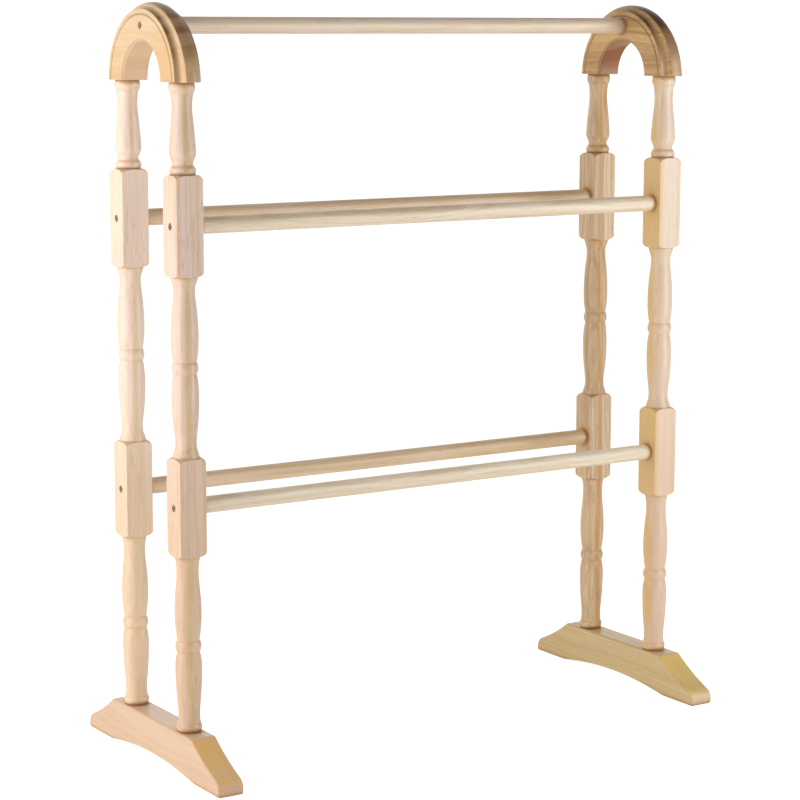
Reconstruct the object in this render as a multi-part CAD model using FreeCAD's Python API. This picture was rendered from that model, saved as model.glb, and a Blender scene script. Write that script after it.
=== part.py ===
import FreeCAD, Part

import math
import os

# A free-standing wooden rack for a quilt, blankets or towels. Two end frames,
# each of a moulded arch, two turned posts and a shaped foot, carry five round
# rails. X runs along the rails, -Y is the front, Z is up, and the origin is on
# the floor under the middle of the rack. All sizes are in millimetres.

# ---- overall layout ----
POST_SPACING_X = 658.0
POST_SPACING_Y = 130.0
BLOCK_SIDE = 32.0
BLOCK_HEIGHT = 110.0
LOWER_RAIL_Z = 303.5
UPPER_RAIL_Z = 611.5
TOP_RAIL_Z = 825.0
ARCH_BOTTOM_Z = 765.0

# ---- rails and their seats ----
RAIL_DIAMETER = 19.0
RAIL_SEAT_DEPTH = 20.0
RAIL_END_CHAMFER = 1.0

# ---- feet ----
FOOT_LENGTH = 322.0
FOOT_HEIGHT = 50.0
FOOT_THICKNESS = 32.0
FOOT_TOP_HALF_FLAT = 97.0
FOOT_TOE_HEIGHT = 15.0
FOOT_SLOPE_SAG = 2.6
FOOT_PAD_LENGTH = 58.0
FOOT_ARCH_RISE = 9.0
FOOT_SHOULDER_RADIUS = 9.0
FOOT_TOE_TOP_RADIUS = 13.0
FOOT_TOE_BOTTOM_RADIUS = 2.5
FOOT_HOLLOW_EDGE_RADIUS = 12.0
FOOT_SIDE_EDGE_RADIUS = 3.0

# ---- arches ----
ARCH_THICKNESS = 32.0
ARCH_CENTRE_Z = 763.6
ARCH_SOFFIT_RADIUS = 44.0
ARCH_FACE_RADIUS = 79.4
RIM_RADIUS = 92.0
RIM_CENTRE_Z = 758.0
RIM_CROWN = 1.2
RIM_EDGE_ROUND = 1.2
COVE_RADIUS = 7.6
QUIRK_WIDTH = 1.0
QUIRK_DEPTH = 0.9
OUTER_QUIRK_RADIUS = 73.4
SOFFIT_ROUND = 2.4
FACE_EDGE_ROUND = 0.8

# ---- countersunk wood screws, 4 x 40 ----
SCREW_DIAMETER = 4.0
SCREW_ROOT_DIAMETER = 2.8
SCREW_LENGTH = 40.0
SCREW_HEAD_DIAMETER = 8.0
SCREW_HEAD_HEIGHT = 2.4
SCREW_HEAD_LAND = 0.3
SCREW_SHANK = 13.0
SCREW_TIP = 4.0
SCREW_PITCH = 1.8
SCREW_SINK = 1.0
RECESS_WIDTH = 0.9
RECESS_LENGTH = 4.4
RECESS_DEPTH = 1.7

# ---- fluted dowel pins, 8 x 30 ----
PIN_DIAMETER = 8.0
PIN_LENGTH = 30.0
PIN_CHAMFER = 1.0
FLUTE_COUNT = 10
FLUTE_RADIUS = 0.5
PIN_HOLE_SPARE = 1.0

# ---- turned lengths of a post: height above the section's foot, and radius ----
FOOT_BEAD = [(0.0, 12.2), (4.6, 14.4), (9.6, 12.9)]
FOOT_VASE = [(9.6, 12.9), (14.5, 12.4), (38.0, 13.6), (65.0, 14.9), (84.5, 14.1), (90.5, 12.7)]
LOWER_RING = [(90.5, 12.7), (97.2, 14.6), (104.0, 12.5)]
LOWER_VASE = [(104.0, 12.5), (112.0, 13.7), (136.0, 15.1), (158.0, 13.9), (181.0, 12.3), (198.5, 14.3)]

# From a square block to the middle ring, once each way up.
HALF_BELLY = [
    (0.0, 14.9), (4.5, 14.2), (9.5, 12.5), (15.0, 11.8), (30.0, 13.0),
    (46.0, 14.5), (63.0, 15.1), (84.0, 14.2), (92.4, 12.8),
]
CENTRE_RING_RADIUS = 14.7

TOP_BEAD_LOW = [(0.0, 13.2), (4.2, 14.5), (9.8, 12.0)]
TOP_VASE = [(9.8, 12.0), (11.4, 11.4), (19.5, 14.0), (29.5, 14.5), (50.0, 12.9), (69.0, 11.1), (86.5, 12.4)]
TOP_BEAD_HIGH = [(86.5, 12.4), (92.5, 14.5), (98.5, 13.2)]

# The blocks' corners are turned away over this length at each end.
SHOULDER_RISE = 5.0
SHOULDER_BULGE = 1.1
SHOULDER_INNER_RADIUS = 13.9

POST_BOTTOM_Z = FOOT_HEIGHT
LOWER_BLOCK_Z = LOWER_RAIL_Z - BLOCK_HEIGHT / 2
UPPER_BLOCK_Z = UPPER_RAIL_Z - BLOCK_HEIGHT / 2
POST_X = POST_SPACING_X / 2
POST_Y = POST_SPACING_Y / 2
RAIL_END_X = POST_X - BLOCK_SIDE / 2 + RAIL_SEAT_DEPTH
OUTER_FACE_X = POST_X + BLOCK_SIDE / 2

X_AXIS = FreeCAD.Vector(1, 0, 0)
Z_AXIS = FreeCAD.Vector(0, 0, 1)
ORIGIN = FreeCAD.Vector(0, 0, 0)


def line(start, end):
    """One straight edge."""
    return Part.LineSegment(start, end).toShape()


class Outline:
    """A run of straight, arc and smooth edges, built point by point and then closed."""

    def __init__(self, start):
        self.start = start
        self.here = start
        self.edges = []

    def line_to(self, end):
        self.edges.append(line(self.here, end))
        self.here = end

    def arc_to(self, via, end):
        self.edges.append(Part.Arc(self.here, via, end).toShape())
        self.here = end

    def curve_through(self, points):
        curve = Part.BSplineCurve()
        curve.interpolate([self.here] + points)
        self.edges.append(curve.toShape())
        self.here = points[-1]

    def closed_face(self):
        if self.here.distanceToPoint(self.start) > 1e-6:
            self.line_to(self.start)
        return Part.Face(Part.Wire(self.edges))


def turned_section(runs, base_z):
    """A turned length of a post. Each run is a list of (height, radius) points that
    starts where the run before it ends: two points are a straight length, three are an
    arc such as a bead, and more are one smooth curve."""

    def at(height, radius):
        return FreeCAD.Vector(radius, 0, base_z + height)

    outline = Outline(at(runs[0][0][0], 0))
    outline.line_to(at(*runs[0][0]))
    for run in runs:
        points = [at(*pair) for pair in run[1:]]
        if len(points) == 1:
            outline.line_to(*points)
        elif len(points) == 2:
            outline.arc_to(*points)
        else:
            outline.curve_through(points)
    outline.line_to(at(runs[-1][-1][0], 0))
    return outline.closed_face().revolve(ORIGIN, Z_AXIS, 360)


def middle_section(base_z):
    """The turned length between the two square blocks, the same both ways up."""
    length = UPPER_BLOCK_Z - LOWER_BLOCK_Z - BLOCK_HEIGHT
    ring_start, ring_end_radius = HALF_BELLY[-1]
    centre_ring = [
        (ring_start, ring_end_radius),
        (length / 2, CENTRE_RING_RADIUS),
        (length - ring_start, ring_end_radius),
    ]
    upper_belly = [(length - height, radius) for height, radius in reversed(HALF_BELLY)]
    return turned_section([HALF_BELLY, centre_ring, upper_belly], base_z)


def square_block(base_z):
    """A square length of a post, its corners turned away at both ends."""
    corner_radius = BLOCK_SIDE / math.sqrt(2) + 0.1
    middle_radius = (SHOULDER_INNER_RADIUS + corner_radius) / 2 + SHOULDER_BULGE
    shoulder = [
        (0, SHOULDER_INNER_RADIUS),
        (SHOULDER_RISE / 2 - SHOULDER_BULGE, middle_radius),
        (SHOULDER_RISE, corner_radius),
    ]
    upper_shoulder = [(BLOCK_HEIGHT - height, radius) for height, radius in reversed(shoulder)]
    sides = [shoulder[-1], upper_shoulder[0]]
    envelope = turned_section([shoulder, sides, upper_shoulder], base_z)
    corner = FreeCAD.Vector(-BLOCK_SIDE / 2, -BLOCK_SIDE / 2, base_z)
    return Part.makeBox(BLOCK_SIDE, BLOCK_SIDE, BLOCK_HEIGHT, corner).common(envelope)


def cylinder_along_x(radius, start_x, end_x, y, z):
    """A cylinder between two X positions."""
    base = FreeCAD.Vector(min(start_x, end_x), y, z)
    return Part.makeCylinder(radius, abs(end_x - start_x), base, X_AXIS)


def rail_joint_cut(y, z):
    """What a left post or arch loses for one rail end and its screw."""
    seat_bottom = -RAIL_END_X
    seat = cylinder_along_x(RAIL_DIAMETER / 2, seat_bottom, -POST_X + BLOCK_SIDE, y, z)
    bore = cylinder_along_x(SCREW_DIAMETER / 2, -OUTER_FACE_X - 1, seat_bottom, y, z)
    head_radius = SCREW_HEAD_DIAMETER / 2
    land_end = -OUTER_FACE_X + SCREW_SINK + SCREW_HEAD_LAND
    land = cylinder_along_x(head_radius, -OUTER_FACE_X - 1, land_end, y, z)
    cone = Part.makeCone(head_radius, SCREW_DIAMETER / 2, SCREW_HEAD_HEIGHT - SCREW_HEAD_LAND,
                         FreeCAD.Vector(land_end, y, z), X_AXIS)
    return seat.fuse([bore, land, cone])


def pin_hole(y, joint_z, up):
    """The blind hole for half a dowel pin, above or below a joint face."""
    depth = PIN_LENGTH / 2 + PIN_HOLE_SPARE
    bottom = joint_z if up else joint_z - depth
    return Part.makeCylinder(PIN_DIAMETER / 2, depth, FreeCAD.Vector(-POST_X, y, bottom), Z_AXIS)


def make_left_post(y):
    """One post, turned and square in turn, with its rail seats and pin holes."""
    blank = turned_section([FOOT_BEAD, FOOT_VASE, LOWER_RING, LOWER_VASE], POST_BOTTOM_Z).fuse([
        square_block(LOWER_BLOCK_Z),
        middle_section(LOWER_BLOCK_Z + BLOCK_HEIGHT),
        square_block(UPPER_BLOCK_Z),
        turned_section([TOP_BEAD_LOW, TOP_VASE, TOP_BEAD_HIGH], UPPER_BLOCK_Z + BLOCK_HEIGHT),
    ])
    blank.translate(FreeCAD.Vector(-POST_X, y, 0))
    return blank.cut([
        rail_joint_cut(y, LOWER_RAIL_Z),
        rail_joint_cut(y, UPPER_RAIL_Z),
        pin_hole(y, POST_BOTTOM_Z, up=True),
        pin_hole(y, ARCH_BOTTOM_Z, up=False),
    ])


def both_ways(half):
    """A solid and its mirror image across the plane X = 0, as one solid."""
    return half.fuse(half.mirror(ORIGIN, X_AXIS))


def make_left_arch():
    """The moulded arch: a turned ring section trimmed by its rim and by the post tops."""
    face = ARCH_THICKNESS / 2
    lip_x = face - QUIRK_DEPTH
    lip = ARCH_SOFFIT_RADIUS + SOFFIT_ROUND
    cove_start_x = face - FACE_EDGE_ROUND
    rim_x = cove_start_x - COVE_RADIUS
    cove_top = ARCH_FACE_RADIUS + COVE_RADIUS
    beyond_rim = RIM_RADIUS + 10.0
    halfway = math.sqrt(0.5)
    bulge = 1 - halfway

    def at(x, radius):
        return FreeCAD.Vector(x, 0, radius)

    outline = Outline(at(0, ARCH_SOFFIT_RADIUS))
    outline.line_to(at(lip_x - SOFFIT_ROUND, ARCH_SOFFIT_RADIUS))
    outline.arc_to(at(lip_x - SOFFIT_ROUND * bulge, lip - SOFFIT_ROUND * halfway), at(lip_x, lip))
    outline.line_to(at(face, lip + QUIRK_WIDTH / 2))
    outline.line_to(at(face, OUTER_QUIRK_RADIUS - QUIRK_WIDTH / 2))
    outline.line_to(at(face - QUIRK_DEPTH, OUTER_QUIRK_RADIUS))
    outline.line_to(at(face, OUTER_QUIRK_RADIUS + QUIRK_WIDTH / 2))
    outline.line_to(at(face, ARCH_FACE_RADIUS - FACE_EDGE_ROUND))
    outline.arc_to(at(face - FACE_EDGE_ROUND * bulge, ARCH_FACE_RADIUS - FACE_EDGE_ROUND * bulge),
                   at(cove_start_x, ARCH_FACE_RADIUS))
    outline.arc_to(at(cove_start_x - COVE_RADIUS * halfway, cove_top - COVE_RADIUS * halfway),
                   at(rim_x, cove_top))
    outline.line_to(at(rim_x, beyond_rim))
    outline.line_to(at(0, beyond_rim))
    ring = both_ways(outline.closed_face().revolve(ORIGIN, X_AXIS, 360))
    ring.translate(FreeCAD.Vector(-POST_X, 0, ARCH_CENTRE_Z))

    rim_side = RIM_RADIUS - RIM_CROWN
    round_start_x = rim_x - RIM_EDGE_ROUND
    barrel = Outline(at(0, 0))
    barrel.line_to(at(face + 1, 0))
    barrel.line_to(at(face + 1, rim_side - RIM_EDGE_ROUND))
    barrel.line_to(at(rim_x, rim_side - RIM_EDGE_ROUND))
    barrel.arc_to(at(rim_x - RIM_EDGE_ROUND * bulge, rim_side - RIM_EDGE_ROUND * bulge),
                  at(round_start_x, rim_side))
    barrel.arc_to(at(round_start_x / 2, RIM_RADIUS - RIM_CROWN / 4), at(0, RIM_RADIUS))
    rim = both_ways(barrel.closed_face().revolve(ORIGIN, X_AXIS, 360))
    rim.translate(FreeCAD.Vector(-POST_X, 0, RIM_CENTRE_Z))

    above_posts = Part.makeBox(2 * BLOCK_SIDE, 2 * beyond_rim, beyond_rim,
                               FreeCAD.Vector(-POST_X - BLOCK_SIDE, -beyond_rim, ARCH_BOTTOM_Z))
    arch = ring.common(rim).common(above_posts)
    return arch.cut([
        rail_joint_cut(0, TOP_RAIL_Z),
        pin_hole(-POST_Y, ARCH_BOTTOM_Z, up=True),
        pin_hole(POST_Y, ARCH_BOTTOM_Z, up=True),
    ]).removeSplitter()


def make_left_foot():
    """One foot: flat under the posts, sloping to blunt toes, hollowed between two pads."""
    half_length = FOOT_LENGTH / 2
    pad_start = half_length - FOOT_PAD_LENGTH

    def at(y, z):
        return FreeCAD.Vector(-POST_X - FOOT_THICKNESS / 2, y, z)

    toe_top = at(half_length, FOOT_TOE_HEIGHT)
    shoulder = at(FOOT_TOP_HALF_FLAT, FOOT_HEIGHT)
    chord = toe_top - shoulder
    inward = FreeCAD.Vector(0, chord.z, -chord.y).normalize()
    slope_via = shoulder + chord * 0.5 + inward * FOOT_SLOPE_SAG

    def front(point):
        return FreeCAD.Vector(point.x, -point.y, point.z)

    outline = Outline(at(pad_start, 0))
    outline.line_to(at(half_length, 0))
    outline.line_to(toe_top)
    outline.arc_to(slope_via, shoulder)
    outline.line_to(front(shoulder))
    outline.arc_to(front(slope_via), front(toe_top))
    outline.line_to(at(-half_length, 0))
    outline.line_to(at(-pad_start, 0))
    outline.arc_to(at(0, FOOT_ARCH_RISE), at(pad_start, 0))
    foot = outline.closed_face().extrude(X_AXIS * FOOT_THICKNESS)

    def across(edge, y, z):
        """True for an edge that runs straight across the foot at the given place."""
        box = edge.BoundBox
        level = abs(box.ZMin - z) < 0.01 and abs(box.ZMax - z) < 0.01
        return level and abs(abs(box.Center.y) - y) < 0.01 and box.XLength > 1

    for y, z, radius in ((FOOT_TOP_HALF_FLAT, FOOT_HEIGHT, FOOT_SHOULDER_RADIUS),
                         (half_length, FOOT_TOE_HEIGHT, FOOT_TOE_TOP_RADIUS),
                         (half_length, 0, FOOT_TOE_BOTTOM_RADIUS),
                         (pad_start, 0, FOOT_HOLLOW_EDGE_RADIUS)):
        foot = foot.makeFillet(radius, [e for e in foot.Edges if across(e, y, z)])

    side_edges = [e for e in foot.Edges if e.BoundBox.XLength < 0.01]
    foot = foot.makeFillet(FOOT_SIDE_EDGE_RADIUS, side_edges)
    return foot.cut([
        pin_hole(-POST_Y, POST_BOTTOM_Z, up=False),
        pin_hole(POST_Y, POST_BOTTOM_Z, up=False),
    ])


def make_rail(y, z):
    """One round rail, chamfered at its ends and bored for the two screws."""
    rail = cylinder_along_x(RAIL_DIAMETER / 2, -RAIL_END_X, RAIL_END_X, y, z)
    rim_edges = [e for e in rail.Edges if e.BoundBox.XLength < 0.01]
    rail = rail.makeChamfer(RAIL_END_CHAMFER, rim_edges)
    screw_reach = OUTER_FACE_X - SCREW_SINK - SCREW_LENGTH
    bores = [cylinder_along_x(SCREW_DIAMETER / 2, side * screw_reach, side * RAIL_END_X, y, z)
             for side in (-1, 1)]
    return rail.cut(bores)


def make_left_screw(y, z):
    """One countersunk screw that enters from the left, with a cross recess in its head."""
    head_radius = SCREW_HEAD_DIAMETER / 2
    shank_radius = SCREW_DIAMETER / 2
    root_radius = SCREW_ROOT_DIAMETER / 2
    thread_end = SCREW_LENGTH - SCREW_TIP

    def at(depth, radius):
        return FreeCAD.Vector(depth, 0, radius)

    outline = Outline(at(0, 0))
    outline.line_to(at(0, head_radius))
    outline.line_to(at(SCREW_HEAD_LAND, head_radius))
    outline.line_to(at(SCREW_HEAD_HEIGHT, shank_radius))
    outline.line_to(at(SCREW_SHANK, shank_radius))
    outline.line_to(at(SCREW_SHANK + SCREW_PITCH / 2, root_radius))
    for turn in range(1, int((thread_end - SCREW_SHANK) / SCREW_PITCH)):
        start = SCREW_SHANK + turn * SCREW_PITCH
        outline.line_to(at(start, shank_radius))
        outline.line_to(at(start + SCREW_PITCH / 2, root_radius))
    outline.line_to(at(thread_end, root_radius))
    outline.line_to(at(SCREW_LENGTH, 0))
    screw = outline.closed_face().revolve(ORIGIN, X_AXIS, 360)

    arms = []
    for width, height in ((RECESS_WIDTH, RECESS_LENGTH), (RECESS_LENGTH, RECESS_WIDTH)):
        corner = FreeCAD.Vector(-1, -width / 2, -height / 2)
        arms.append(Part.makeBox(RECESS_DEPTH + 1, width, height, corner))
    screw = screw.cut(arms)
    screw.translate(FreeCAD.Vector(-OUTER_FACE_X + SCREW_SINK, y, z))
    return screw


def make_left_pin(y, joint_z):
    """One fluted dowel pin, half in each of the two pieces it joins."""
    radius = PIN_DIAMETER / 2
    base = FreeCAD.Vector(-POST_X, y, joint_z - PIN_LENGTH / 2)
    pin = Part.makeCylinder(radius, PIN_LENGTH, base, Z_AXIS)
    rims = [e for e in pin.Edges if e.BoundBox.ZLength < 0.01]
    pin = pin.makeChamfer(PIN_CHAMFER, rims)
    flutes = []
    for index in range(FLUTE_COUNT):
        angle = 2 * math.pi * index / FLUTE_COUNT
        offset = FreeCAD.Vector(radius * math.cos(angle), radius * math.sin(angle), -1)
        flutes.append(Part.makeCylinder(FLUTE_RADIUS, PIN_LENGTH + 2, base + offset, Z_AXIS))
    return pin.cut(flutes)


def save(name, shape):
    """Write one piece, which must be a single valid solid."""
    if not shape.isValid() or len(shape.Solids) != 1:
        raise ValueError(name + " is not one valid solid")
    shape.Solids[0].exportStep(os.path.join("parts", name + ".step"))


def save_pair(kind, place, left_shape):
    """Write a left-hand piece and its mirror image on the right."""
    suffix = "_" + place if place else ""
    save(kind + "_left" + suffix, left_shape)
    save(kind + "_right" + suffix, left_shape.mirror(ORIGIN, X_AXIS))


os.makedirs("parts", exist_ok=True)

save_pair("arch", "", make_left_arch())
save_pair("foot", "", make_left_foot())
save("rail_top", make_rail(0, TOP_RAIL_Z))
save_pair("screw", "top", make_left_screw(0, TOP_RAIL_Z))

for side, side_y in (("front", -POST_Y), ("back", POST_Y)):
    save_pair("post", side, make_left_post(side_y))
    save_pair("dowel_pin", "arch_" + side, make_left_pin(side_y, ARCH_BOTTOM_Z))
    save_pair("dowel_pin", "foot_" + side, make_left_pin(side_y, POST_BOTTOM_Z))
    for level, rail_z in (("upper", UPPER_RAIL_Z), ("lower", LOWER_RAIL_Z)):
        save("rail_" + level + "_" + side, make_rail(side_y, rail_z))
        save_pair("screw", level + "_" + side, make_left_screw(side_y, rail_z))
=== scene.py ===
import math

import bpy
from mathutils import Matrix, Vector

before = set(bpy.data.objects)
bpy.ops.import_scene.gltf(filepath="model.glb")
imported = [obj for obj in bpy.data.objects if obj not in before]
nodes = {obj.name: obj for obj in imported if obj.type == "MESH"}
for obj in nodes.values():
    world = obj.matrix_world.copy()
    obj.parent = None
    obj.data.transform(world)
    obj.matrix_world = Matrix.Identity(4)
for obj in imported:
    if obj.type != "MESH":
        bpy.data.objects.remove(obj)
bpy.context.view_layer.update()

# The looks of the wooden rack: the camera and light of the photograph, and one
# procedural wood for each piece. Metres, in the frame of the CAD model.

scene = bpy.context.scene

# ---- camera, as solved from the perspective of the photograph ----
CAMERA_PLACE = Vector((-1.5231, -2.3500, 0.8281))
CAMERA_YAW = 32.787
CAMERA_PITCH = 8.976
CAMERA_ROLL = -0.112
SENSOR_WIDTH = 36.0
LENS = 107.4765


def make_camera():
    data = bpy.data.cameras.new("camera")
    data.sensor_width = SENSOR_WIDTH
    data.lens = LENS
    camera = bpy.data.objects.new("camera", data)
    scene.collection.objects.link(camera)
    camera.matrix_world = (
        Matrix.Translation(CAMERA_PLACE)
        @ Matrix.Rotation(math.radians(-CAMERA_YAW), 4, "Z")
        @ Matrix.Rotation(math.radians(90 - CAMERA_PITCH), 4, "X")
        @ Matrix.Rotation(math.radians(-CAMERA_ROLL), 4, "Z")
    )
    scene.camera = camera


# ---- sizes of the surface detail, in metres ----
LAYER_WANDER = 0.030
TONE_WANDER = 0.080
HEART_WANDER = 0.014
HEART_BORDER = 0.0008
# The next is how far the painted shade of the grooves reaches.
GROOVE_SHADE_REACH = 0.008
EASED_EDGE = 0.0007
PORE_DEPTH = 0.0002
# The next is how far the painted shade in the screws' recesses reaches.
RECESS_SHADE_REACH = 0.002

GRIME_RATE = 900.0
WOOD_IOR = 1.47
VESSEL_BROWN = (0.34, 0.22, 0.14)


# ---- building node trees ----
class Tree:
    """Short ways to add nodes to one tree. A value may be a number, a tuple or a socket."""

    def __init__(self, owner):
        owner.use_nodes = True
        self.tree = owner.node_tree
        self.tree.nodes.clear()

    def feed(self, socket, value):
        if isinstance(value, bpy.types.NodeSocket):
            self.tree.links.new(value, socket)
        elif isinstance(value, tuple) and len(value) == 3 and socket.type == "RGBA":
            socket.default_value = value + (1.0,)
        else:
            socket.default_value = value

    def add(self, kind, inputs=None, **settings):
        node = self.tree.nodes.new(kind)
        for key, value in settings.items():
            setattr(node, key, value)
        for key, value in (inputs or {}).items():
            self.feed(node.inputs[key], value)
        return node

    def math(self, operation, *values, clamp=False):
        node = self.add("ShaderNodeMath", operation=operation, use_clamp=clamp)
        for index, value in enumerate(values):
            self.feed(node.inputs[index], value)
        return node.outputs[0]

    def mix(self, factor, low, high, blend="MIX"):
        node = self.add("ShaderNodeMix", data_type="RGBA", blend_type=blend, clamp_factor=True)
        self.feed(node.inputs[0], factor)
        self.feed(node.inputs[6], low)
        self.feed(node.inputs[7], high)
        return node.outputs[2]

    def vector(self, x, y, z):
        return self.add("ShaderNodeCombineXYZ", {0: x, 1: y, 2: z}).outputs[0]

    def length(self, x, y):
        across = self.math("MULTIPLY", x, x)
        return self.math("SQRT", self.math("MULTIPLY_ADD", y, y, across))

    def noise(self, vector, detail=2.0, roughness=0.5, distortion=0.0):
        node = self.add("ShaderNodeTexNoise", {
            "Vector": vector, "Scale": 1.0, "Detail": detail,
            "Roughness": roughness, "Distortion": distortion})
        return node.outputs["Fac"]

    def noise_line(self, value, detail=2.0, roughness=0.5):
        node = self.add("ShaderNodeTexNoise", {
            "W": value, "Scale": 1.0, "Detail": detail, "Roughness": roughness},
            noise_dimensions="1D")
        return node.outputs["Fac"]

    def ramp(self, value, low, high, to_low=0.0, to_high=1.0):
        node = self.add("ShaderNodeMapRange", {
            "Value": value, "From Min": low, "From Max": high,
            "To Min": to_low, "To Max": to_high}, interpolation_type="SMOOTHSTEP")
        return node.outputs[0]


def wood(name, centre, grain, light, mid, dark, end, seed, band=0.6, ring=0.35, streak=0.3,
         stroke=0.3, pith=(0.07, 0.05), ring_rate=230.0, drift=None, drift_amount=0.5,
         heart=None, tone=None, slant=None, moulded=None):
    """One piece of lacquered wood with its grain along an axis of the frame.

    Growth layers lie around a pith outside the piece, so bands run along it, open into
    long arches where they meet a face at a low angle, and show as curves on cut ends.
    heart is one broad band of other colour near the middle of the piece: (angle of its
    plane, offset, half width, colour, amount, radius within which it lies). tone is a slow
    change along the grain: (from, to, colour, amount). slant is the colour of faces that
    cut the grain at a slant. moulded is for an arch: the colours of its shaped rim, of the
    painted shade on the rim's top and of the soffit, and how dark the painted groove shade
    along its face's edges lies, partly pooled lacquer."""
    material = bpy.data.materials.new(name)
    t = Tree(material)
    place = t.add("ShaderNodeTexCoord").outputs["Object"]
    x, y, z = t.add("ShaderNodeSeparateXYZ", {0: place}).outputs[:3]
    across, up, along = {"X": (y, z, x), "Y": (x, z, y), "Z": (x, y, z)}[grain]

    def stretched(cross_rate, long_rate, shift=0.0):
        return t.vector(
            t.math("MULTIPLY_ADD", across, cross_rate, 0.31 * seed * cross_rate + shift),
            t.math("MULTIPLY_ADD", up, cross_rate, 0.17 * seed * cross_rate + shift),
            t.math("MULTIPLY_ADD", along, long_rate, 0.53 * seed * long_rate + shift))

    # Growth layers.
    du = t.math("SUBTRACT", across, pith[0])
    dv = t.math("SUBTRACT", up, pith[1])
    radius = t.length(du, dv)
    wander = t.noise(stretched(14.0, 4.0), detail=2.0)
    radius = t.math("MULTIPLY_ADD", wander, LAYER_WANDER, radius)
    layer = t.math("MULTIPLY_ADD", radius, ring_rate, 7.3 * seed)
    rings = t.ramp(t.noise_line(layer, detail=3.0, roughness=0.6), 0.42, 0.66)
    bands = t.ramp(t.noise_line(t.math("MULTIPLY", layer, 0.30), detail=1.0), 0.38, 0.62)

    # Streaks along the grain, short dark vessel strokes, fibres and pores.
    streaks = t.ramp(t.noise(stretched(120.0, 3.5), detail=3.0, roughness=0.55), 0.50, 0.72)
    strokes = t.ramp(t.noise(stretched(760.0, 62.0), detail=1.0), 0.54, 0.72)
    patches = t.ramp(t.noise(stretched(40.0, 9.0, 3.0), detail=1.0), 0.42, 0.60)
    fibres = t.noise(stretched(1300.0, 26.0), detail=2.0, roughness=0.6)
    pores = t.ramp(t.noise(stretched(2300.0, 120.0), detail=1.0), 0.66, 0.74)
    clouds = t.ramp(t.noise(stretched(16.0, 5.0, 5.0), detail=2.0), 0.42, 0.62)

    colour = t.mix(t.math("MULTIPLY", bands, band), light, mid)
    if drift:
        colour = t.mix(t.math("MULTIPLY", clouds, drift_amount), colour, drift)
    if tone:
        first, last, tone_colour, amount = tone
        place_along = t.math("MULTIPLY_ADD", wander, TONE_WANDER, along)
        first += TONE_WANDER / 2
        last += TONE_WANDER / 2
        colour = t.mix(t.ramp(place_along, first, last, 0.0, amount), colour, tone_colour)
    if heart:
        angle, offset, half_width, heart_colour, amount, core = heart
        turn = math.radians(angle)
        centre_across, centre_up = {"X": centre.yz, "Y": centre.xz, "Z": centre.xy}[grain]
        middle = centre_across * math.cos(turn) + centre_up * math.sin(turn) + offset
        out = t.length(t.math("SUBTRACT", across, centre_across),
                       t.math("SUBTRACT", up, centre_up))
        plane = t.math("ADD", t.math("MULTIPLY", across, math.cos(turn)),
                       t.math("MULTIPLY", up, math.sin(turn)))
        plane = t.math("MULTIPLY_ADD", wander, HEART_WANDER, plane)
        distance = t.math("ABSOLUTE", t.math("SUBTRACT", plane, middle + HEART_WANDER / 2))
        band_mask = t.ramp(distance, 0.35 * half_width, 1.25 * half_width, amount, 0.0)
        core_mask = t.ramp(out, core - HEART_BORDER, core + HEART_BORDER, 1.0, 0.15)
        inside = t.math("MULTIPLY", band_mask, core_mask)
        colour = t.mix(inside, colour, heart_colour)
    colour = t.mix(t.math("MULTIPLY", rings, ring), colour, dark)
    colour = t.mix(t.math("MULTIPLY", streaks, streak), colour, dark)
    colour = t.mix(t.math("MULTIPLY", t.math("MULTIPLY", strokes, patches), stroke), colour,
                   t.mix(0.35, dark, VESSEL_BROWN))
    colour = t.mix(1.0, colour, t.mix(fibres, (0.90, 0.88, 0.85), (1.08, 1.09, 1.10)), "MULTIPLY")
    colour = t.mix(t.math("MULTIPLY", pores, 0.35), colour, dark)

    # Cut ends and shaped edges soak up the lacquer and change colour; the arches also carry
    # painted shade on their rim tops and along their face edges.
    geometry = t.add("ShaderNodeNewGeometry")
    nx, ny, nz = t.add("ShaderNodeSeparateXYZ", {0: geometry.outputs["Normal"]}).outputs[:3]
    facing = t.math("ABSOLUTE", {"X": nx, "Y": ny, "Z": nz}[grain])
    if slant:
        patchy = t.math("MULTIPLY", t.math("MULTIPLY_ADD", clouds, 0.35, 0.62),
                        t.ramp(nz, 0.2, 0.5))
        colour = t.mix(t.math("MULTIPLY", t.ramp(facing, 0.25, 0.5), patchy), colour, slant)
        colour = t.mix(t.ramp(facing, 0.66, 0.92, 0.0, 0.9), colour, end)
    else:
        colour = t.mix(t.ramp(facing, 0.25, 1.0, 0.0, 0.75), colour, end)
    if moulded:
        rim, rim_top_shade, soffit, edge_shade = moulded
        reach = t.length(y, t.math("SUBTRACT", z, ARCH_CENTRE))
        # Painted shade: dark bands along the face's edge grooves, partly pooled lacquer.
        for edge in ARCH_FACE_EDGES:
            off_edge = t.math("ABSOLUTE", t.math("SUBTRACT", reach, edge))
            groove_shade_line = t.math("MULTIPLY", t.ramp(off_edge, 0.0004, 0.0022, edge_shade, 0.0),
                          t.math("MULTIPLY_ADD", clouds, 0.5, 0.5))
            colour = t.mix(groove_shade_line, colour, GROOVE_SHADE_BROWN)
        # Painted shade: the rim turns darker where it faces up.
        around = t.mix(t.ramp(nz, 0.10, 0.75), rim, rim_top_shade)
        around = t.mix(t.ramp(reach, *SOFFIT_TO_RIM), soffit, around)
        shaped = t.ramp(t.math("ABSOLUTE", nx), 0.30, 0.92, 0.9, 0.0)
        uneven = t.math("MULTIPLY_ADD", bands, 0.40, 0.60)
        colour = t.mix(t.math("MULTIPLY", shaped, uneven), colour, around)

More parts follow.
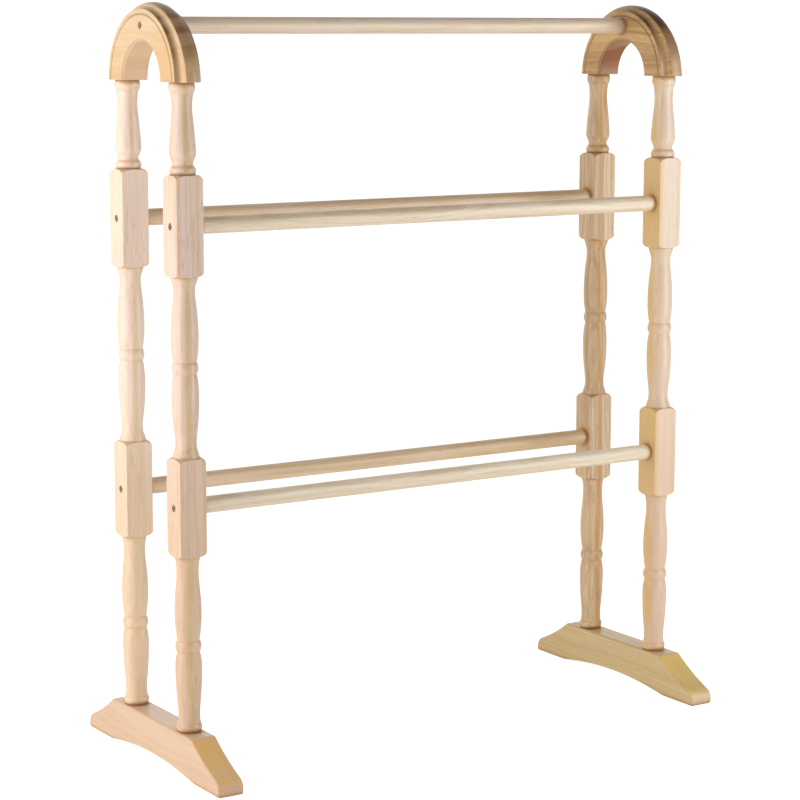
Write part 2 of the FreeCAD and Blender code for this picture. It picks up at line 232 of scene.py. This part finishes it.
    # Painted shade in the grooves and hollows, darker where ambient occlusion finds them, partly
    # lacquer pooled there.
    crease_shade = t.add("ShaderNodeAmbientOcclusion", {"Distance": GROOVE_SHADE_REACH},
                   samples=8).outputs["AO"]
    colour = t.mix(t.ramp(crease_shade, 0.70, 1.00, 0.70, 0.0), colour, t.mix(0.6, dark, SHADE_AND_POOLED_LACQUER))
    colour = t.mix(t.ramp(crease_shade, 0.35, 0.90, 0.90, 0.0), colour, t.mix(0.6, dark, GROOVE_SHADE_BROWN))

    # Edges are eased, and rubbed a little paler.
    eased = t.add("ShaderNodeBevel", {"Radius": EASED_EDGE}, samples=4)
    agree = t.add("ShaderNodeVectorMath", {0: eased.outputs[0], 1: geometry.outputs["Normal"]},
                  operation="DOT_PRODUCT").outputs["Value"]
    rubbed = t.ramp(agree, 0.75, 0.99, 0.35, 0.0)
    colour = t.mix(rubbed, colour, t.mix(0.6, light, (1.0, 1.0, 1.0)))

    height = t.math("ADD", t.math("MULTIPLY", fibres, 0.5),
                    t.math("MULTIPLY", pores, -0.8))
    bump = t.add("ShaderNodeBump", {"Strength": 0.12, "Distance": PORE_DEPTH, "Height": height,
                                    "Normal": eased.outputs[0]})
    shader = t.add("ShaderNodeBsdfPrincipled", {
        "Base Color": colour,
        "Roughness": t.ramp(fibres, 0.2, 0.8, 0.38, 0.50),
        "IOR": WOOD_IOR,
        "Coat Weight": 0.45,
        "Coat Roughness": 0.20,
        "Normal": bump.outputs[0],
    })
    t.add("ShaderNodeOutputMaterial", {"Surface": shader.outputs[0]})
    return material


def steel(name):
    """Dull yellowish steel, with painted shade in its recess."""
    material = bpy.data.materials.new(name)
    t = Tree(material)
    place = t.add("ShaderNodeTexCoord").outputs["Object"]
    scaled = t.add("ShaderNodeVectorMath", {0: place, 1: (GRIME_RATE,) * 3},
                   operation="MULTIPLY")
    grime = t.noise(scaled.outputs[0], detail=3.0)
    crease_shade = t.add("ShaderNodeAmbientOcclusion", {"Distance": RECESS_SHADE_REACH}, samples=8)
    colour = t.mix(grime, (0.34, 0.24, 0.13), (0.62, 0.48, 0.30))
    # Painted shade: darker where ambient occlusion finds the recess around the screw.
    colour = t.mix(t.ramp(crease_shade.outputs["AO"], 0.3, 0.9, 0.8, 0.0), colour, (0.10, 0.06, 0.03))
    shader = t.add("ShaderNodeBsdfPrincipled", {
        "Base Color": colour,
        "Metallic": 0.6,
        "Roughness": t.ramp(grime, 0.3, 0.7, 0.38, 0.6),
    })
    t.add("ShaderNodeOutputMaterial", {"Surface": shader.outputs[0]})
    return material


# ---- the palette ----
CREAM = (0.86, 0.71, 0.56)
PINK = (0.87, 0.69, 0.62)
BEIGE = (0.80, 0.61, 0.44)
TAN = (0.72, 0.50, 0.30)
GOLD = (0.74, 0.47, 0.20)
BROWN = (0.42, 0.25, 0.12)
# The next two are painted shade for hollows and grooves, partly pooled lacquer.
SHADE_AND_POOLED_LACQUER = (0.74, 0.42, 0.15)
GROOVE_SHADE_BROWN = (0.30, 0.13, 0.04)

# Height of the arches' centre, and the radii between which their faces are flat.
ARCH_CENTRE = 0.7636
ARCH_FACE_EDGES = (0.0455, 0.0734)
# Radii over which the soffit's colour gives way to the rim's.
SOFFIT_TO_RIM = (0.055, 0.063)

WOODS = {
    "arch_left": dict(
        grain="Y", light=(0.76, 0.58, 0.38), mid=(0.72, 0.51, 0.30), dark=(0.56, 0.34, 0.16),
        end=(0.66, 0.45, 0.27), seed=1, band=0.7, ring=0.2, streak=0.2, pith=(-0.30, 0.62),
        drift=(0.70, 0.44, 0.21), drift_amount=0.75,
        moulded=((0.54, 0.34, 0.18), (0.22, 0.09, 0.02), (0.78, 0.54, 0.34), 0.35)),
    "arch_right": dict(
        grain="Y", light=(0.70, 0.46, 0.21), mid=(0.54, 0.32, 0.12), dark=(0.32, 0.16, 0.06),
        end=BROWN, seed=2, band=0.8, ring=0.55, streak=0.4, stroke=0.5, pith=(0.36, 0.60),
        ring_rate=150.0, drift=(0.60, 0.34, 0.15),
        moulded=((0.68, 0.43, 0.27), (0.06, 0.015, 0.003), (0.26, 0.065, 0.005), 0.9)),
    "foot_left": dict(
        grain="Y", light=(0.74, 0.54, 0.39), mid=(0.72, 0.51, 0.34), dark=(0.62, 0.40, 0.22),
        end=(0.76, 0.48, 0.29), slant=(0.87, 0.54, 0.20), seed=3, band=0.5, ring=0.3,
        streak=0.3, pith=(-0.26, -0.06), drift=(0.78, 0.58, 0.46)),
    "foot_right": dict(
        grain="Y", light=(0.69, 0.54, 0.29), mid=(0.64, 0.47, 0.22), dark=(0.52, 0.36, 0.16),
        end=(0.76, 0.55, 0.38), slant=(0.89, 0.62, 0.19), seed=4, band=0.6, ring=0.4,
        streak=0.4, pith=(0.26, -0.07), drift=(0.78, 0.60, 0.36)),
    "post_left_front": dict(
        grain="Z", light=PINK, mid=(0.82, 0.62, 0.50), dark=(0.62, 0.42, 0.26), end=GOLD, seed=5,
        band=0.7, ring=0.3, streak=0.35, stroke=0.5, pith=(-0.27, -0.10), drift=(0.84, 0.67, 0.54),
        tone=(0.44, 0.24, (0.79, 0.56, 0.40), 0.85),
        heart=(-33, 0.0042, 0.0048, (0.72, 0.52, 0.25), 0.75, 0.0153)),
    "post_left_back": dict(
        grain="Z", light=(0.93, 0.79, 0.70), mid=(0.90, 0.73, 0.60), dark=TAN, end=GOLD, seed=6,
        band=0.6, ring=0.25, streak=0.3, stroke=0.4, pith=(-0.40, 0.02), drift=PINK,
        tone=(0.46, 0.24, (0.84, 0.64, 0.43), 0.8),
        heart=(-33, 0.0040, 0.0035, (0.78, 0.60, 0.38), 0.65, 0.0153)),
    "post_right_front": dict(
        grain="Z", light=(0.80, 0.66, 0.52), mid=BEIGE, dark=TAN, end=GOLD, seed=7,
        band=0.6, ring=0.3, streak=0.3, stroke=0.3, pith=(0.40, -0.13), drift=PINK,
        tone=(0.50, 0.30, (0.80, 0.57, 0.42), 0.8),
        heart=(0, -0.0165, 0.0062, (0.77, 0.52, 0.20), 0.85, 0.05)),
    "post_right_back": dict(
        grain="Z", light=(0.73, 0.59, 0.42), mid=(0.63, 0.46, 0.27), dark=(0.42, 0.23, 0.09),
        end=BROWN, seed=8, band=0.8, ring=0.45, streak=0.55, stroke=0.6, pith=(0.25, 0.0),
        drift=(0.66, 0.48, 0.36), tone=(0.36, 0.22, (0.84, 0.63, 0.40), 0.6),
        heart=(-33, 0.0055, 0.0042, (0.58, 0.32, 0.11), 0.9, 0.05)),
    "rail_top": dict(
        grain="X", light=CREAM, mid=(0.74, 0.60, 0.44), dark=(0.60, 0.45, 0.28), end=BROWN,
        seed=9, band=0.7, ring=0.4, streak=0.45, pith=(0.05, 0.77), drift=PINK),
    "rail_upper_front": dict(
        grain="X", light=(0.90, 0.80, 0.66), mid=(0.84, 0.70, 0.52), dark=(0.60, 0.42, 0.22),
        end=BROWN, seed=10, band=0.6, ring=0.4, streak=0.4, pith=(-0.01, 0.55), drift=CREAM),
    "rail_upper_back": dict(
        grain="X", light=(0.80, 0.62, 0.44), mid=(0.72, 0.52, 0.32), dark=(0.56, 0.38, 0.20),
        end=BROWN, seed=11, band=0.6, ring=0.4, streak=0.4, pith=(0.01, 0.55), drift=PINK),
    "rail_lower_front": dict(
        grain="X", light=(0.92, 0.83, 0.68), mid=(0.86, 0.73, 0.54), dark=(0.64, 0.48, 0.28),
        end=BROWN, seed=12, band=0.6, ring=0.4, streak=0.4, pith=(-0.01, 0.25), drift=CREAM),
    "rail_lower_back": dict(
        grain="X", light=(0.80, 0.62, 0.42), mid=(0.74, 0.54, 0.33), dark=(0.56, 0.38, 0.20),
        end=BROWN, seed=13, band=0.6, ring=0.4, streak=0.45, pith=(0.01, 0.25), drift=CREAM),
    "dowel_pin": dict(grain="Z", light=BEIGE, mid=TAN, dark=GOLD, end=BROWN, seed=14),
}


def middle_of(piece):
    """The middle of a CAD piece's box, in the frame."""
    corners = [Vector(corner) for corner in piece.bound_box]
    return sum(corners, Vector()) / len(corners)


def paint():
    """Give every CAD piece its own wood, and the screws their steel."""
    made = {}
    for name, facts in WOODS.items():
        centre = middle_of(nodes[name]) if name in nodes else Vector()
        made[name] = wood(name + "_wood", centre, **facts)
    screw_steel = steel("screw_steel_dull")
    for name, piece in nodes.items():
        if name.startswith("screw"):
            material = screw_steel
        elif name.startswith("dowel_pin"):
            material = made["dowel_pin"]
        else:
            material = made[name]
        for material_slot in piece.material_slots:
            material_slot.material = material


# ---- studio ----
BACKDROP_LIGHT = 1.15
ROOM_LIGHT = 0.28
CEILING_SHARE = 0.60
FLOOR_GLOW = 0.22
FLOOR_GLOW_SEEN = 0.80
FLOOR_HALF_SIZE = 40.0
AMBIENT = (1.0, 1.0, 0.98)
WARM_SIDE = (1.0, 0.88, 0.62)


def make_floor():
    """A plain pale floor that reaches the horizon and burns out to white."""
    half = FLOOR_HALF_SIZE
    mesh = bpy.data.meshes.new("floor")
    corners = [(-half, -half, 0), (half, -half, 0), (half, half, 0), (-half, half, 0)]
    mesh.from_pydata(corners, [], [(0, 1, 2, 3)])
    floor = bpy.data.objects.new("floor", mesh)
    scene.collection.objects.link(floor)
    material = bpy.data.materials.new("floor_white")
    t = Tree(material)
    seen = t.add("ShaderNodeLightPath").outputs["Is Camera Ray"]
    glow = t.math("MULTIPLY_ADD", seen, FLOOR_GLOW_SEEN - FLOOR_GLOW, FLOOR_GLOW)
    shader = t.add("ShaderNodeBsdfPrincipled", {
        "Base Color": (0.86, 0.86, 0.86), "Roughness": 0.9, "Specular IOR Level": 0.1,
        "Emission Color": (1.0, 1.0, 1.0), "Emission Strength": glow})
    t.add("ShaderNodeOutputMaterial", {"Surface": shader.outputs[0]})
    mesh.materials.append(material)


def make_world():
    """A bright backdrop behind the rack, a dimmer room in front, and little from above."""
    world = bpy.data.worlds.new("studio")
    scene.world = world
    t = Tree(world)
    direction = t.add("ShaderNodeTexCoord").outputs["Generated"]
    x, y, z = t.add("ShaderNodeSeparateXYZ", {0: direction}).outputs[:3]
    walls = t.ramp(y, 0.1, 0.8, ROOM_LIGHT, BACKDROP_LIGHT)
    low = t.ramp(z, 0.25, 0.75, 1.0, CEILING_SHARE)
    seen = t.add("ShaderNodeLightPath").outputs["Is Camera Ray"]
    strength = t.math("MAXIMUM", t.math("MULTIPLY", walls, low), seen)
    tint = t.mix(t.ramp(x, -0.5, 0.2), WARM_SIDE, AMBIENT)
    background = t.add("ShaderNodeBackground", {
        "Color": t.mix(seen, tint, (1.0, 1.0, 1.0)), "Strength": strength})
    t.add("ShaderNodeOutputWorld", {"Surface": background.outputs[0]})


def softbox(name, place, target, width, height, power, colour):
    data = bpy.data.lights.new(name, "AREA")
    data.shape = "RECTANGLE"
    data.size = width
    data.size_y = height
    data.energy = power
    data.color = colour
    light = bpy.data.objects.new(name, data)
    scene.collection.objects.link(light)
    place, target = Vector(place), Vector(target)
    light.matrix_world = (Matrix.Translation(place)
                          @ (target - place).to_track_quat("-Z", "Y").to_matrix().to_4x4())


def make_lights():
    softbox("left_softbox", (-1.35, 0.0, 0.68), (-0.33, 0.0, 0.48), 1.1, 1.2, 11.6,
            (1.0, 0.955, 0.955))
    softbox("right_softbox", (0.85, -1.15, 0.68), (0.33, 0.0, 0.48), 0.8, 1.2, 10.0,
            (0.98, 0.985, 0.98))


scene.view_settings.view_transform = "Standard"
make_camera()
paint()
make_floor()
make_world()
make_lights()
